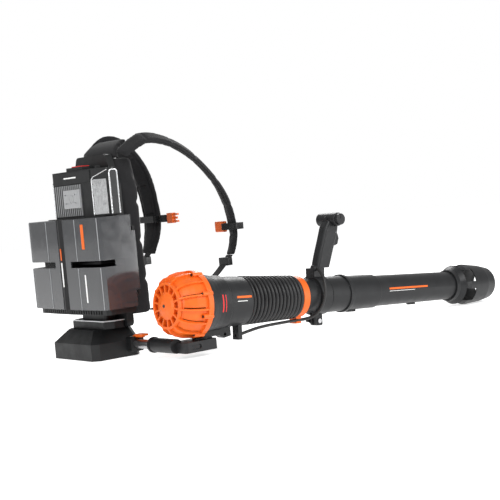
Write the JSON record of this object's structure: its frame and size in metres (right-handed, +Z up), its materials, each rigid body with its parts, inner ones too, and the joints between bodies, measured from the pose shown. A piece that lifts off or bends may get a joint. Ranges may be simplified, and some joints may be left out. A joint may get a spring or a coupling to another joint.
{
  "type": "backpack leaf blower",
  "caption": "Battery backpack blower with a padded harness, see-through battery covers, an axial fan housing on a side arm, a bellows, a long pipe with nozzle and a pistol grip.",
  "frame": {"origin": "middle of the flat foot's sole, below the back frame", "axes": "+X to the wearer's right, +Y the way the wearer faces and the nozzle points, +Z up"},
  "size_m": [0.575, 1.2519, 0.5833],
  "materials": {
    "dark_housing": "fine-grained moulded plastic, nearly black",
    "grey_trim": "pale grey moulded trim",
    "orange_plastic": "smooth orange moulded plastic",
    "smoked_cover": "smoked see-through plastic",
    "battery_case": "satin black plastic",
    "sink_metal": "cast and machined aluminium",
    "steel": "plain steel",
    "copper_contact": "bare contact metal",
    "board": "circuit board laminate",
    "soft_rubber": "matt black rubber",
    "pipe_plastic": "satin black blow-moulded pipe",
    "pad_fabric": "padded mesh fabric",
    "webbing": "woven polyester webbing",
    "buckle_plastic": "smooth black acetal",
    "button_plastic": "smooth red plastic"
  },
  "bodies": {
    "pack": {"foot_shell": "dark_housing", "foot_floor": "dark_housing", "foot_pads": "soft_rubber", "frame_tray": "dark_housing", "tray_trim": "grey_trim", "back_frame": "dark_housing", "tube_socket": "dark_housing", "steel_tube": "steel", "hinge_pins": "steel", "camp_body": "dark_housing", "camp_spine": "dark_housing", "camp_grille": "dark_housing", "batteries_left": "battery_case", "batteries_right": "battery_case", "battery_contacts": "copper_contact", "controller_case": "dark_housing", "heat_sink": "sink_metal", "heat_sink_plate": "sink_metal", "corner_windows": "grey_trim", "side_panels": "grey_trim", "control_board": "board", "back_pad": "pad_fabric", "strap_pad_left": "pad_fabric", "strap_pad_right": "pad_fabric", "strap_webbing_left": "webbing", "strap_webbing_right": "webbing", "ladder_locks": "buckle_plastic", "chest_buckle": "orange_plastic"},
    "cover_left": {"cover_left": "smoked_cover"},
    "cover_right": {"cover_right": "smoked_cover"},
    "power_button": {"power_button": "button_plastic"},
    "release_lever": {"release_lever": "orange_plastic"},
    "arm": {"arm_casing": "dark_housing"},
    "blower": {"housing_bracket": "dark_housing", "intake_cage": "orange_plastic", "cage_screws": "steel", "motor_housing": "dark_housing", "stator_vanes": "dark_housing", "motor_stator": "steel", "motor_bearings": "steel", "bellows_rear": "soft_rubber", "control_cable_rear": "soft_rubber"},
    "fan": {"fan_rotor": "dark_housing", "rotor_shaft": "steel"},
    "bellows_mid": {"bellows_hoop": "steel"},
    "pipe": {"bellows_front": "soft_rubber", "bellows_clamp": "orange_plastic", "rear_pipe": "pipe_plastic", "front_pipe": "pipe_plastic", "nozzle": "pipe_plastic", "control_cable_front": "soft_rubber"},
    "handle": {"handle_clamp": "dark_housing", "handle_grip": "dark_housing", "handle_pins": "steel", "trigger_switch": "dark_housing", "control_cable_handle": "soft_rubber"},
    "wing_knob": {"wing_knob": "dark_housing"},
    "throttle_trigger": {"throttle_trigger": "dark_housing"},
    "speed_dial": {"speed_dial": "grey_trim"},
    "boost_button": {"boost_button": "dark_housing"}
  },
  "joints": [
    {"name": "arm_pitch", "type": "hinge", "parent": "pack", "child": "arm", "pos_m": [0.25, 0, 0.031], "axis": [1, 0, 0], "range_deg": [-10, 15]},
    {"name": "blower_swivel", "type": "hinge", "parent": "arm", "child": "blower", "pos_m": [0.31, 0.07, 0.04], "axis": [0, 0, 1], "range_deg": [-25, 10]},
    {"name": "fan_spin", "type": "hinge", "parent": "blower", "child": "fan", "pos_m": [0.31, 0.10985, 0.12381], "axis": [0, 0.9976, -0.0698], "continuous": true},
    {"name": "pipe_yaw", "type": "hinge", "parent": "blower", "child": "bellows_mid", "pos_m": [0.31, 0.25151, 0.11391], "axis": [0, 0.0698, 0.9976], "range_deg": [-15, 15], "deforming": ["bellows_rear", "control_cable_rear"]},
    {"name": "pipe_pitch", "type": "hinge", "parent": "bellows_mid", "child": "pipe", "pos_m": [0.31, 0.32732, 0.10861], "axis": [1, 0, 0], "range_deg": [-12, 12], "deforming": ["bellows_front", "control_cable_front"]},
    {"name": "handle_turn", "type": "hinge", "parent": "pipe", "child": "handle", "pos_m": [0.31, 0.45401, 0.09975], "axis": [0, 0.9976, -0.0698], "range_deg": [-20, 20], "deforming": ["control_cable_handle"]},
    {"name": "wing_knob_turn", "type": "hinge", "parent": "handle", "child": "wing_knob", "pos_m": [0.292, 0.44927, 0.03191], "axis": [-1, 0, 0], "range_deg": [0, 180]},
    {"name": "trigger_squeeze", "type": "hinge", "parent": "handle", "child": "throttle_trigger", "pos_m": [0.31, 0.53436, 0.25953], "axis": [-1, 0, 0], "range_deg": [0, 18], "stiffness_Nm_per_rad": 0.6, "springref_deg": -6.88},
    {"name": "dial_turn", "type": "hinge", "parent": "handle", "child": "speed_dial", "pos_m": [0.343, 0.53081, 0.29487], "axis": [1, 0, 0], "range_deg": [0, 60]},
    {"name": "boost_press", "type": "slide", "parent": "handle", "child": "boost_button", "axis": [0, 0.9976, -0.0698], "range_m": [0, 0.0025], "stiffness_N_per_m": 300, "springref_m": -0.002},
    {"name": "lever_lift", "type": "hinge", "parent": "pack", "child": "release_lever", "pos_m": [0.12, 0, 0.0485], "axis": [0, -1, 0], "range_deg": [0, 50], "stiffness_Nm_per_rad": 0.08, "springref_deg": -28.65},
    {"name": "cover_left_swing", "type": "hinge", "parent": "pack", "child": "cover_left", "pos_m": [-0.176, -0.014, 0.246], "axis": [0, 0, -1], "range_deg": [0, 100]},
    {"name": "cover_right_swing", "type": "hinge", "parent": "pack", "child": "cover_right", "pos_m": [0.176, -0.014, 0.246], "axis": [0, 0, 1], "range_deg": [0, 45]},
    {"name": "power_press", "type": "slide", "parent": "pack", "child": "power_button", "axis": [0, 0, -1], "range_m": [0, 0.003], "stiffness_N_per_m": 400, "springref_m": -0.002}
  ]
}
